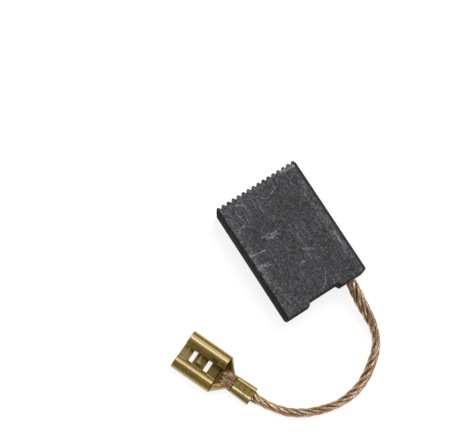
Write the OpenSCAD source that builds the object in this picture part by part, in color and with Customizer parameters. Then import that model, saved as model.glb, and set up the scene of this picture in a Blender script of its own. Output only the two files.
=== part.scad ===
// Carbon brush for a small motor: a flat graphite block, a copper rope tamped into one end of it,
// and a push-on receptacle crimped to the rope's other end.
// The block lies on one of its wide faces. +Y is its connection end, +Z its upper wide face.

/* [Block] */
// Width across the wide face
block_w = 16; // [12:0.5:20]
// Length from the contact face to the connection face
block_l = 22.2; // [18:0.1:30]
// Thickness between the wide faces
block_t = 6.3; // [5:0.1:8]
// Bevel along the four long edges
edge_bevel = 0.6; // [0.3:0.1:1]
// Rounding of the two corners at the connection end
corner_r = 0.5; // [0.2:0.1:1]

/* [Contact face] */
// Ridges moulded across the contact face
ridge_count = 16; // [8:1:20]
// Depth of the grooves between the ridges
ridge_depth = 0.45; // [0.2:0.05:0.8]
// Flat left on a ridge's tip, as a share of the pitch
ridge_flat = 0.3; // [0.1:0.05:0.5]

/* [Spring seat] */
// Width of the recess at the connection face
seat_w = 6.4; // [4:0.1:6.8]
// Run of each sloping side wall
seat_slope = 0.4; // [0.1:0.1:0.8]
// Depth of the recess
seat_depth = 0.65; // [0.3:0.05:1.2]
// Offset of the recess away from the rope
seat_shift = 0.2; // [0:0.1:0.6]

/* [Rope and its hole] */
// Diameter of the copper rope
rope_d = 1.7; // [1.4:0.1:2]
// Distance from the block's side face to the rope
rope_inset = 3; // [2.6:0.1:3.4]
// Diameter of the tamping hole
hole_d = 2.6; // [2.4:0.1:3]
// Depth of the tamping hole
hole_depth = 8; // [5:0.5:12]
// Depth of the tamping compound's face below the connection face
tamp_recess = 0.3; // [0.1:0.1:0.8]
// Thickness of the tamping compound under the rope's end
tamp_floor = 0.5; // [0.3:0.1:1]

/* [Receptacle] */
// Overall length of the receptacle
term_l = 14.4; // [13.5:0.1:17]
// Length of the socket that grips the tab
socket_l = 7.6; // [7:0.1:8.5]
// Width across the rolled sides
socket_w = 7.3; // [7:0.1:8]
// Height over the rolled sides
socket_h = 3; // [2.8:0.1:3.4]
// Thickness of the brass strip
strip_t = 0.4; // [0.35:0.05:0.45]
// Outer radius of the rolls
roll_r = 1.3; // [1.15:0.05:1.35]
// How far each roll's lip curls past the horizontal, in degrees
lip_turn = 15; // [5:5:25]
// Outer radius of the bends beside the floor
bend_r = 1.3; // [1.1:0.05:1.35]

/* [Socket floor] */
// Width of each transverse window
window_w = 0.75; // [0.5:0.05:1]
// Length of each transverse window
window_l = 5.7; // [5:0.1:6]
// Distance from the mouth to the first window's centre
window_from_mouth = 2.3; // [2:0.1:2.6]
// Distance between the windows' centres
window_pitch = 3; // [2.4:0.1:3.2]
// Width of the pressed-up panel
panel_w = 3.8; // [3:0.1:4.2]
// Length of the pressed-up panel
panel_l = 6.6; // [5.8:0.1:6.8]
// Distance from the mouth to the panel
panel_from_mouth = 0.9; // [0.6:0.1:1.2]
// Corner radius of the panel
panel_r = 0.6; // [0.3:0.1:1]
// Height that the panel and the dimple are each pressed up
press_h = 0.2; // [0.1:0.05:0.25]
// Diameter of the locking dimple
dimple_d = 1.5; // [1:0.1:1.8]
// How far the dimple stands off the middle line
dimple_shift = 0.35; // [0:0.05:0.5]

/* [Crimp] */
// Length of the crimp barrel
crimp_l = 4.3; // [3.5:0.1:5]
// Width of the crimp barrel
crimp_w = 3; // [2.8:0.1:3.4]
// Height of the crimp barrel
crimp_h = 2.2; // [2:0.1:2.6]
// Height of the squeezed rope inside the barrel
core_h = 1; // [0.8:0.1:1.2]
// Width of the pressed channel between the folded wings
channel_w = 1; // [0.6:0.1:1.2]
// Depth of the pressed channel
channel_h = 0.3; // [0.1:0.05:0.4]
// Length of the strand ends past the barrel
tuft_l = 1.7; // [1:0.1:2]

/* [Hidden] */
$fn = 64;

// where the receptacle lies beside the block, and which way its mouth points
term_x = 19.5;
term_y = 18.5;
term_turn = -67.25;

rope_x = -block_w / 2 + rope_inset;
rope_z = block_t / 2;
end_y = block_l / 2;
root_y = end_y - hole_depth + tamp_floor;
pitch = block_w / ridge_count;

// centre line of the free rope, from the block's end face to the crimp
route = [
    [rope_x, end_y, rope_z],
    [-4.75, 13.0, 3.1],
    [-4.5, 15.2, 2.75],
    [-4.4, 17.35, 2.2],
    [-4.2, 19.45, 1.6],
    [-3.55, 21.5, 1.15],
    [-2.2, 23.3, 0.95],
    [-0.3, 24.85, 0.95],
    [1.85, 26.15, 0.95],
    [4.3, 27.05, 0.95],
    [6.9, 27.3, 0.95],
    [9.5, 26.95, 0.95],
    [11.95, 26.2, 0.95],
    [14.25, 25.05, 0.95],
    [16.25, 23.45, 0.95],
    [17.85, 21.4, 0.95],
    [18.75, 19.85, 0.9]
];
// the rope's last ring stands just in front of the barrel, square to it
rope_gap = 0.05;
core_lead = 0.5;
core_z = strip_t + core_h / 2;
crimp_dir = [cos(term_turn), sin(term_turn), 0];
rope_end = [term_x, term_y, core_z] - rope_gap * crimp_dir;
rope_start = [rope_x, end_y - 0.6, rope_z];

socket_u = term_l - socket_l;
inner_w = crimp_w - 2 * strip_t;
waist = [
    [crimp_l - 0.25, 1.44, 1.6],
    [crimp_l, 1.46, 1.55],
    [crimp_l + 0.4, 1.52, 1.45],
    [crimp_l + 0.8, 1.75, 1.4],
    [crimp_l + 1.2, 2.1, 1.45],
    [crimp_l + 1.6, 2.55, 1.5],
    [crimp_l + 2.0, 3.05, 1.6],
    [socket_u - 0.2, 3.4, 1.65],
    [socket_u, socket_w / 2 - 0.03, 1.7],
    [socket_u + 0.06, socket_w / 2 - 0.03, 1.7]
];

function unit(v) = v / norm(v);

// ---- carbon block ----

function ridge_points() = [
    for (i = [0:ridge_count - 1]) for (p = [
        [0, ridge_depth],
        [(1 - ridge_flat) / 2 * pitch, 0],
        [(1 + ridge_flat) / 2 * pitch, 0]
    ]) [-block_w / 2 + i * pitch + p.x, -block_l / 2 + p.y]
];

module block_plan() {
    seat_x = seat_shift;
    polygon(concat(
        ridge_points(),
        [
            [block_w / 2, -block_l / 2 + ridge_depth],
            [block_w / 2, end_y - corner_r],
            [block_w / 2 - corner_r, end_y],
            [seat_x + seat_w / 2, end_y],
            [seat_x + seat_w / 2 - seat_slope, end_y - seat_depth],
            [seat_x - seat_w / 2 + seat_slope, end_y - seat_depth],
            [seat_x - seat_w / 2, end_y],
            [-block_w / 2 + corner_r, end_y],
            [-block_w / 2, end_y - corner_r]
        ]
    ));
    for (s = [-1, 1])
        translate([s * (block_w / 2 - corner_r), end_y - corner_r]) circle(r = corner_r);
}

// the block's section across its length, with its four bevelled edges
module block_section() {
    w = block_w / 2;
    polygon([
        [-w + edge_bevel, 0], [w - edge_bevel, 0], [w, edge_bevel], [w, block_t - edge_bevel],
        [w - edge_bevel, block_t], [-w + edge_bevel, block_t], [-w, block_t - edge_bevel], [-w, edge_bevel]
    ]);
}

module carbon_block() {
    color("#3a3a3c") difference() {
        intersection() {
            linear_extrude(block_t) block_plan();
            translate([0, block_l, 0]) rotate([90, 0, 0]) linear_extrude(2 * block_l) block_section();
        }
        translate([rope_x, end_y - hole_depth, rope_z]) rotate([-90, 0, 0])
            cylinder(d = hole_d, h = hole_depth + 1);
    }
}

// ---- tamping compound ----

module tamping_plug() {
    color("#5d4636") translate([rope_x, end_y - hole_depth, rope_z]) rotate([-90, 0, 0]) difference() {
        cylinder(d = hole_d, h = hole_depth - tamp_recess);
        translate([0, 0, tamp_floor]) cylinder(d = rope_d, h = hole_depth);
    }
}

// ---- rope ----

rope_points = concat([rope_start], route, [rope_end]);
rope_sides = 8;

function rope_dir(i) =
    i == 0 ? [0, 1, 0]
    : i == len(rope_points) - 1 ? crimp_dir
    : unit(rope_points[i + 1] - rope_points[i - 1]);

function rope_ring(i) =
    let (t = rope_dir(i), s = unit(cross(t, [0, 0, 1])), u = cross(s, t))
    [for (k = [0:rope_sides - 1]) rope_points[i]
        + rope_d / 2 * (cos(360 * k / rope_sides) * s + sin(360 * k / rope_sides) * u)];

module free_rope() {
    n = len(rope_points);
    m = rope_sides;
    polyhedron(
        points = [for (i = [0:n - 1]) each rope_ring(i)],
        faces = concat(
            [[for (k = [m - 1:-1:0]) k]],
            [for (i = [0:n - 2]) for (k = [0:m - 1]) let (a = i * m + k, b = i * m + (k + 1) % m)
                each [[a, b + m, a + m], [a, b, b + m]]],
            [[for (k = [0:m - 1]) (n - 1) * m + k]]
        ),
        convexity = 6
    );
}

// a flat-sided bar with round edges, lying along the receptacle's own axis
module squeezed_bar(w, h, from, to) {
    along_axis(from, to) {
        translate([-w / 2 + h / 2, core_z - h / 2]) square([w - h, h]);
        for (s = [-1, 1]) translate([s * (w - h) / 2, core_z]) circle(d = h);
    }
}

module pigtail() {
    color("#b98a6b") union() {
        translate([rope_x, root_y, rope_z]) rotate([-90, 0, 0]) cylinder(d = rope_d, h = end_y - root_y);
        free_rope();
        at_receptacle() {
            squeezed_bar(inner_w, core_h, -core_lead, crimp_l - 0.3);
            squeezed_bar(inner_w - 0.2, core_h - 0.1, crimp_l - 0.5, crimp_l + tuft_l);
        }
    }
}

// ---- receptacle ----

module at_receptacle() {
    translate([term_x, term_y, 0]) rotate([0, 0, term_turn]) children();
}

// extrudes a section of the strip (across, up) along the receptacle's axis
module along_axis(from, to) {
    translate([from, 0, 0]) rotate([90, 0, 90]) linear_extrude(to - from) children();
}

// one rolled side of the socket, seen from the mouth
module roll_section() {
    roll_v = socket_w / 2 - roll_r;
    roll_z = socket_h - roll_r;
    bend_v = socket_w / 2 - bend_r;
    cut = 3 * roll_r;
    translate([roll_v, roll_z]) difference() {
        circle(r = roll_r);
        circle(r = roll_r - strip_t);
        polygon([[0, 0], cut * [cos(180 + lip_turn), sin(180 + lip_turn)], [-cut, -cut], [cut, -cut], [cut, 0]]);
    }
    translate([socket_w / 2 - strip_t, bend_r]) square([strip_t, roll_z - bend_r]);
    translate([bend_v, bend_r]) intersection() {
        difference() {
            circle(r = bend_r);
            circle(r = bend_r - strip_t);
        }
        translate([0, -bend_r]) square(bend_r);
    }
}

module socket_section() {
    for (s = [0, 1]) mirror([s, 0]) roll_section();
    translate([-socket_w / 2 + bend_r, 0]) square([socket_w - 2 * bend_r, strip_t]);
}

module panel_plan() {
    len = min(panel_l, socket_l - panel_from_mouth);
    translate([term_l - panel_from_mouth - len, -panel_w / 2]) {
        translate([panel_r, 0]) square([len - panel_r, panel_w]);
        translate([0, panel_r]) square([len, panel_w - 2 * panel_r]);
        for (v = [panel_r, panel_w - panel_r]) translate([panel_r, v]) circle(r = panel_r);
    }
}

module window_plan(u) {
    translate([u, 0]) {
        translate([-window_w / 2, -window_l / 2 + window_w / 2]) square([window_w, window_l - window_w]);
        for (s = [-1, 1]) translate([0, s * (window_l - window_w) / 2]) circle(d = window_w);
    }
}

module dimple(grow) {
    translate([term_l - window_from_mouth - window_pitch / 2, dimple_shift, -0.01])
        cylinder(d1 = dimple_d - grow, d2 = dimple_d / 2 - grow, h = press_h + 0.01);
}

// outline of the open channel between the crimp and the socket: half width and wall height
function waist_ring(p) =
    let (
        a = p[1], h = p[2],
        // the rounding beside the floor grows from the crimp to the socket
        open = max(0, min(1, (p[0] - crimp_l - 0.4) / (socket_u - crimp_l - 0.4))),
        r = 0.7 + (bend_r - 0.8) * open,
        outer = concat([[a, h]], [for (k = [0:4]) [a - r + r * cos(90 * k / 4), r - r * sin(90 * k / 4)]]),
        b = a - strip_t, q = r - strip_t * 0.6,
        inner = concat([[b, h]], [for (k = [0:4])
            [b - q + q * cos(90 * k / 4), strip_t + q - q * sin(90 * k / 4)]])
    )
    concat(
        [for (v = outer) [p[0], v.x, v.y]],
        [for (i = [len(outer) - 1:-1:0]) [p[0], -outer[i].x, outer[i].y]],
        [for (v = inner) [p[0], -v.x, v.y]],
        [for (i = [len(inner) - 1:-1:0]) [p[0], inner[i].x, inner[i].y]]
    );

module waist_channel() {
    n = len(waist);
    m = len(waist_ring(waist[0]));
    // the strip's section is one row of quads from wall top to wall top
    function cap(k0) = [for (j = [0:m / 2 - 2])
        let (a = k0 + j, b = k0 + j + 1, c = k0 + m - 2 - j, d = k0 + m - 1 - j) [a, b, c, d]];
    polyhedron(
        points = [for (p = waist) each waist_ring(p)],
        faces = concat(
            [for (f = cap(0)) [f[3], f[2], f[1], f[0]]],
            [for (i = [0:n - 2]) for (k = [0:m - 1]) let (a = i * m + k, b = i * m + (k + 1) % m)
                each [[a, b, b + m], [a, b + m, a + m]]],
            cap((n - 1) * m)
        ),
        convexity = 6
    );
}

module crimp_section() {
    r = crimp_w / 4;
    low = 0.9;
    top = crimp_h - r;
    difference() {
        union() {
            for (s = [-1, 1]) {
                translate([s * (crimp_w / 2 - low), low]) circle(r = low);
                translate([s * r, top]) circle(r = r);
            }
            translate([-crimp_w / 2 + low, 0]) square([crimp_w - 2 * low, low]);
            translate([-crimp_w / 2, low]) square([crimp_w, top - low]);
            translate([-r, low]) square([2 * r, crimp_h - channel_h - low]);
        }
        translate([-channel_w / 2, crimp_h - channel_h]) square([channel_w, 1]);
        translate([-(inner_w - core_h) / 2, strip_t]) square([inner_w - core_h, core_h]);
        for (s = [-1, 1]) translate([s * (inner_w - core_h) / 2, core_z]) circle(d = core_h);
    }
}

module terminal() {
    color("#b59a45") at_receptacle() {
        difference() {
            union() {
                along_axis(socket_u, term_l) socket_section();
                translate([0, 0, strip_t - 0.05]) linear_extrude(press_h + 0.05) panel_plan();
                translate([0, 0, strip_t + press_h]) dimple(0);
            }
            translate([0, 0, -1]) linear_extrude(1 + press_h) panel_plan();
            translate([0, 0, press_h]) dimple(0);
            for (i = [0, 1]) translate([0, 0, -1]) linear_extrude(2)
                window_plan(term_l - window_from_mouth - i * window_pitch);
        }
        waist_channel();
        difference() {
            along_axis(0, crimp_l) crimp_section();
            // the crimping die's cross marks in the channel
            for (u = [0.75, 1.7, 2.8]) translate([u, -channel_w / 2, crimp_h - channel_h - 0.08])
                cube([0.14, channel_w, 1]);
        }
    }
}

carbon_block();
tamping_plug();
pigtail();
terminal();
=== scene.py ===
import math

import bpy
import numpy as np
from mathutils import Matrix, Vector


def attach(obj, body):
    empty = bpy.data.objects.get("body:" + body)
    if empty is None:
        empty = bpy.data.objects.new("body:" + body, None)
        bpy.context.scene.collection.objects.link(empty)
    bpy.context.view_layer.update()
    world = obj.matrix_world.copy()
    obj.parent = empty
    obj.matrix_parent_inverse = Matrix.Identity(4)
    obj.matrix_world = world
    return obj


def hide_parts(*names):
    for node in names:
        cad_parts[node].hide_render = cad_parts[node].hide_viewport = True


mm = 0.001

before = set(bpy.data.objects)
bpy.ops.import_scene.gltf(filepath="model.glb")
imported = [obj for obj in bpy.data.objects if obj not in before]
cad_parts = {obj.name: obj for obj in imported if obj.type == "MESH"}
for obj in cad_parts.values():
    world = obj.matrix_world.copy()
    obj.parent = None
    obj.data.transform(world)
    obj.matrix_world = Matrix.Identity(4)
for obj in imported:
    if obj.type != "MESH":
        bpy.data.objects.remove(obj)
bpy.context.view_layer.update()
print("frame loaded")


cameraView = {
    "aim": (6.457, -8.946, 0.0),  # mm, the point under the middle of the view
    "distance": 225.107,
    "heading": 57.286,  # degrees from +X to the side that the camera leans to
    "lean": 9.4,  # degrees off straight down
    "lens": 102.0,
}


def makeCamera(s):
    heading, lean = math.radians(s["heading"]), math.radians(s["lean"])
    back = Vector((math.cos(heading) * math.sin(lean), math.sin(heading) * math.sin(lean), math.cos(lean)))
    right = Vector((-math.sin(heading), math.cos(heading), 0))
    up = back.cross(right)
    data = bpy.data.cameras.new("camera")
    data.lens = s["lens"]
    data.sensor_width = 36
    data.clip_start = 0.01
    data.clip_end = 20
    cam = bpy.data.objects.new("camera", data)
    bpy.context.scene.collection.objects.link(cam)
    place = Matrix((right, up, back)).transposed().to_4x4()
    place.translation = (Vector(s["aim"]) + back * s["distance"]) * mm
    cam.matrix_world = place
    bpy.context.scene.camera = cam


makeCamera(cameraView)
print("camera placed")


class Wire:
    # a socket that can be used in sums, products and comparisons
    def __init__(self, graph, socket):
        self.graph = graph
        self.socket = socket

    def calc(self, operation, a, b=None):
        values = {0: a} if b is None else {0: a, 1: b}
        return self.graph.node("ShaderNodeMath", {"operation": operation}, values)

    def __add__(self, other):
        return self.calc("ADD", self, other)

    def __radd__(self, other):
        return self.calc("ADD", other, self)

    def __sub__(self, other):
        return self.calc("SUBTRACT", self, other)

    def __rsub__(self, other):
        return self.calc("SUBTRACT", other, self)

    def __mul__(self, other):
        return self.calc("MULTIPLY", self, other)

    def __rmul__(self, other):
        return self.calc("MULTIPLY", other, self)

    def __abs__(self):
        return self.calc("ABSOLUTE", self)

    def __mod__(self, other):
        return self.calc("FLOORED_MODULO", self, other)

    def larger(self, other):
        return self.calc("MAXIMUM", self, other)

    def smaller(self, other):
        return self.calc("MINIMUM", self, other)

    def part(self, name):
        # x, y or z of a vector
        split = self.graph.node("ShaderNodeSeparateXYZ", {}, {"Vector": self}, output=None)
        return Wire(self.graph, split.outputs[name.upper()])


class Finish:
    # one material and its nodes
    def __init__(self, name):
        self.material = bpy.data.materials.new(name)
        self.material.use_nodes = True
        self.tree = self.material.node_tree
        self.tree.nodes.clear()

    def node(self, kind, settings=None, values=None, output=0):
        made = self.tree.nodes.new(kind)
        for key, value in (settings or {}).items():
            setattr(made, key, value)
        for key, value in (values or {}).items():
            socket = made.inputs[key]
            if isinstance(value, Wire):
                self.tree.links.new(value.socket, socket)
            else:
                socket.default_value = value
        return made if output is None else Wire(self, made.outputs[output])

    def place(self):
        return self.node("ShaderNodeTexCoord", output="Object")

    def unwrapped(self, name):
        return self.node("ShaderNodeUVMap", {"uv_map": name}, output="UV")

    def stretch(self, vector, scale, turn=(0, 0, 0), offset=(0, 0, 0)):
        values = {"Vector": vector, "Scale": scale, "Rotation": turn, "Location": offset}
        return self.node("ShaderNodeMapping", {}, values)

    def noise(self, vector, scale, detail=3, roughness=0.55):
        values = {"Vector": vector, "Scale": scale, "Detail": detail, "Roughness": roughness}
        return self.node("ShaderNodeTexNoise", {}, values)

    def cells(self, vector, scale):
        return self.node("ShaderNodeTexVoronoi", {}, {"Vector": vector, "Scale": scale}, "Distance")

    def step(self, value, low, high):
        # 0 at low and 1 at high, smooth between; low may be the larger of the two
        settings = {"interpolation_type": "SMOOTHSTEP"}
        return self.node("ShaderNodeMapRange", settings, {"Value": value, "From Min": low, "From Max": high})

    def mix(self, factor, a, b):
        # a where the factor is 0 and b where it is 1
        return self.node("ShaderNodeMix", {"data_type": "RGBA"}, {0: factor, 6: a, 7: b}, output=2)

    def bump(self, height, distance, strength):
        return self.node("ShaderNodeBump", {}, {"Height": height, "Distance": distance, "Strength": strength})

    def finish(self, values):
        shader = self.node("ShaderNodeBsdfPrincipled", {}, values)
        self.node("ShaderNodeOutputMaterial", {}, {"Surface": shader}, output=None)
        return self.material


def rgb(red, green, blue):
    return (red, green, blue, 1)


def startPiece(name):
    # names the object that an operator has just added
    piece = bpy.context.active_object
    piece.name = name
    piece.data.name = name
    return piece


def deselectAll():
    if bpy.context.mode != "OBJECT":
        bpy.ops.object.mode_set(mode="OBJECT")
    bpy.ops.object.select_all(action="DESELECT")


def select(piece):
    deselectAll()
    piece.select_set(True)
    bpy.context.view_layer.objects.active = piece


def settle(piece):
    select(piece)
    bpy.ops.object.transform_apply(location=True, rotation=True, scale=True)


def addBox(name, middle, size):
    deselectAll()
    bpy.ops.mesh.primitive_cube_add(size=1, location=[c * mm for c in middle], scale=[c * mm for c in size])
    piece = startPiece(name)
    settle(piece)
    return piece


def addRod(name, middle, radius, length, sides, turn=0):
    deselectAll()
    bpy.ops.mesh.primitive_cylinder_add(vertices=sides, radius=radius * mm, depth=length * mm,
                                        location=[c * mm for c in middle], rotation=(turn, 0, 0))
    piece = startPiece(name)
    settle(piece)
    return piece


def applyAll(piece):
    select(piece)
    for modifier in list(piece.modifiers):
        bpy.ops.object.modifier_apply(modifier=modifier.name)


def cutAway(piece, cutter):
    modifier = piece.modifiers.new("cut", "BOOLEAN")
    modifier.operation = "DIFFERENCE"
    modifier.solver = "EXACT"
    modifier.object = cutter
    applyAll(piece)
    bpy.data.objects.remove(cutter)


def softenEdges(piece, width, segments, angle):
    # a small bevel along every edge that is sharper than the angle
    soft = piece.modifiers.new("edges", "BEVEL")
    soft.width = width * mm
    soft.segments = segments
    soft.limit_method = "ANGLE"
    soft.angle_limit = math.radians(angle)
    soft.use_clamp_overlap = True
    applyAll(piece)


def smoothShade(piece, angle):
    select(piece)
    bpy.ops.object.shade_smooth_by_angle(angle=math.radians(angle))


def pick(piece, kind, test):
    # selects the vertices, edges or faces that pass a test, in mm, and leaves the piece in edit mode
    bpy.ops.object.mode_set(mode="EDIT")
    bpy.ops.mesh.select_mode(type=kind)
    bpy.ops.mesh.select_all(action="DESELECT")
    bpy.ops.object.mode_set(mode="OBJECT")
    mesh = piece.data
    if kind == "VERT":
        for v in mesh.vertices:
            v.select = bool(test(v.co / mm))
    elif kind == "EDGE":
        for e in mesh.edges:
            a, b = (mesh.vertices[i].co / mm for i in e.vertices)
            e.select = bool(test((a + b) / 2, b - a))
    else:
        for f in mesh.polygons:
            f.select = bool(test(f.center / mm, f.normal))
    bpy.ops.object.mode_set(mode="EDIT")


def meshPiece(name, points, faces, uvs):
    # points in mm; uvs has one pair for each corner of each face
    mesh = bpy.data.meshes.new(name)
    mesh.from_pydata([tuple(p) for p in np.asarray(points) * mm], [], faces)
    layer = mesh.uv_layers.new(name="lay")
    layer.data.foreach_set("uv", np.asarray(uvs, float).ravel())
    piece = bpy.data.objects.new(name, mesh)
    bpy.context.scene.collection.objects.link(piece)
    mesh.shade_smooth()
    return piece


def smoothCurve(knots, x):
    # a monotone cubic through (position, value) pairs, so it never overshoots them
    k = np.array(knots, float)
    h, d = np.diff(k[:, 0]), np.diff(k[:, 1]) / np.diff(k[:, 0])
    m = np.concatenate([[d[0]], (d[1:] + d[:-1]) / 2, [d[-1]]])
    for i, slope in enumerate(d):
        if slope == 0:
            m[i] = m[i + 1] = 0
            continue
        a, b = m[i] / slope, m[i + 1] / slope
        m[i] = 0 if a < 0 else m[i]
        m[i + 1] = 0 if b < 0 else m[i + 1]
        size = math.hypot(m[i] / slope, m[i + 1] / slope)
        if size > 3:
            m[i], m[i + 1] = 3 * m[i] / size, 3 * m[i + 1] / size
    x = np.clip(np.asarray(x, float), k[0, 0], k[-1, 0])
    i = np.clip(np.searchsorted(k[:, 0], x) - 1, 0, len(h) - 1)
    t = (x - k[i, 0]) / h[i]
    return (
        (2 * t**3 - 3 * t**2 + 1) * k[i, 1]
        + (t**3 - 2 * t**2 + t) * h[i] * m[i]
        + (3 * t**2 - 2 * t**3) * k[i + 1, 1]
        + (t**3 - t**2) * h[i] * m[i + 1]
    )


def softStep(x, low, high):
    t = np.clip((np.asarray(x, float) - low) / (high - low), 0, 1)
    return t * t * (3 - 2 * t)


receptaclePlace = {"x": 19.5, "y": 18.5, "turn": -67.25}


def fromReceptacle(points):
    # (along, across, up) in mm to the part's own frame
    p = np.asarray(points, float)
    c, s = math.cos(math.radians(receptaclePlace["turn"])), math.sin(math.radians(receptaclePlace["turn"]))
    x = receptaclePlace["x"] + c * p[..., 0] - s * p[..., 1]
    y = receptaclePlace["y"] + s * p[..., 0] + c * p[..., 1]
    return np.stack([x, y, p[..., 2]], -1)


rope = {
    "diameter": 1.7,
    "route": [
        (-5.0, 11.1, 3.15),
        (-4.75, 13.0, 3.1),
        (-4.5, 15.2, 2.75),
        (-4.4, 17.35, 2.2),
        (-4.2, 19.45, 1.6),
        (-3.55, 21.5, 1.15),
        (-2.2, 23.3, 0.95),
        (-0.3, 24.85, 0.95),
        (1.85, 26.15, 0.95),
        (4.3, 27.05, 0.95),
        (6.9, 27.3, 0.95),
        (9.5, 26.95, 0.95),
        (11.95, 26.2, 0.95),
        (14.25, 25.05, 0.95),
        (16.25, 23.45, 0.95),
        (17.85, 21.4, 0.95),
        (18.75, 19.85, 0.9),
    ],
    "coreHeight": 0.9,  # height of the squeezed rope's middle in the crimp
    "inHole": 2.0,  # how far the rope's mesh reaches into the tamping
    "inCrimp": 3.6,
    "crimpAside": -0.1,
    "strands": 5,
    "strandShare": 0.385,  # a strand's radius as a share of the rope's
    "layLength": 9.0,
    "coreShare": 0.34,
    "flattening": 0.1,  # of a strand, where it lies against its neighbours
    "wires": 8,  # ridges seen around a strand
    "wireLay": 5.5,
    "wireDepth": 0.09,
    "drift": (0.07, 0.05, 0.05),  # how much a strand sways, swells and lifts
    "driftLengths": (2.6, 4.1, 6.3),
    "crimpWide": 1.27,  # the squeezed rope's width and height as shares of its diameter
    "crimpTall": 0.57,
    "squeezeRun": (1.6, 0.3),  # it starts this far before the crimp and ends this far inside
    "heightGain": 0.35,  # how much taller the rope is where it is narrower
    "tallest": 0.9,  # half the height that keeps it off the bench
    "steps": 20,  # points on each stretch of the route before they are spaced evenly
    "rings": 280,
    "around": 40,
    # how wide the loose rope is at each distance from the block, as a share of its diameter
    "slack": [(-2, 1.0), (0, 1.12), (3, 1.24), (6, 1.16), (8, 1.0), (10, 0.86), (11.5, 0.86), (14, 0.96),
              (18, 1.0), (21, 0.96), (25, 0.88), (29, 0.9), (32, 0.94), (36, 0.9), (38.5, 0.94), (40, 1.0)],
    "seed": 7,
}


def ropeLine(s):
    # the rope's centre line, evenly spaced, with its distance from the block's face
    aside, high = s["crimpAside"], s["coreHeight"]
    inside = fromReceptacle([(s["inCrimp"] * share, aside, high) for share in (0, 0.5, 1)])
    x, y, z = s["route"][0]
    hole = [(x, y - s["inHole"], z), (x, y - s["inHole"] / 2, z)]
    p = np.array(hole + s["route"] + [tuple(q) for q in inside])
    p = np.vstack([2 * p[0] - p[1], p, 2 * p[-1] - p[-2]])
    fine = []
    for i in range(1, len(p) - 2):
        a, b, c, d = p[i - 1], p[i], p[i + 1], p[i + 2]
        square, cube = 2 * a - 5 * b + 4 * c - d, 3 * b - a - 3 * c + d
        for t in np.linspace(0, 1, s["steps"], endpoint=False):
            fine.append(0.5 * (2 * b + (c - a) * t + square * t**2 + cube * t**3))
    fine = np.array(fine + [p[-2]])
    run = np.concatenate([[0], np.cumsum(np.linalg.norm(np.diff(fine, axis=0), axis=1))])
    at = np.linspace(0, run[-1], s["rings"])
    line = np.stack([np.interp(at, run, fine[:, k]) for k in range(3)], 1)
    return line, at - s["inHole"]


def tubeFaces(rings, around):
    i, k = np.meshgrid(np.arange(rings - 1), np.arange(around), indexing="ij")
    a = i * around + k
    b = i * around + (k + 1) % around
    quads = np.stack([a, b, b + around, a + around], -1).reshape(-1, 4)
    return quads


def closedTube(rings, uvU, uvV):
    # rings: (n, around, 3), turning by the right-hand rule about the run, so that its faces look outwards
    n, around = rings.shape[:2]
    quads = tubeFaces(n, around)
    i, k = np.divmod(quads, around)
    wrap = (k == 0) & (np.roll(k, 1, axis=1) + np.roll(k, -1, axis=1) > around / 2)
    u = np.where(wrap, uvU[around], uvU[k % around])
    uv = np.stack([u, uvV[i]], -1).reshape(-1, 2)
    caps = [list(range(around))[::-1], [(n - 1) * around + j for j in range(around)]]
    capUv = np.zeros((2 * around, 2))
    return rings.reshape(-1, 3), [tuple(q) for q in quads] + caps, np.vstack([uv, capUv])


def joinParts(parts):
    points, faces, uvs, start = [], [], [], 0
    for p, f, uv in parts:
        points.append(p)
        faces += [tuple(int(j) + start for j in face) for face in f]
        uvs.append(uv)
        start += len(p)
    return np.vstack(points), faces, np.vstack(uvs)


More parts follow.
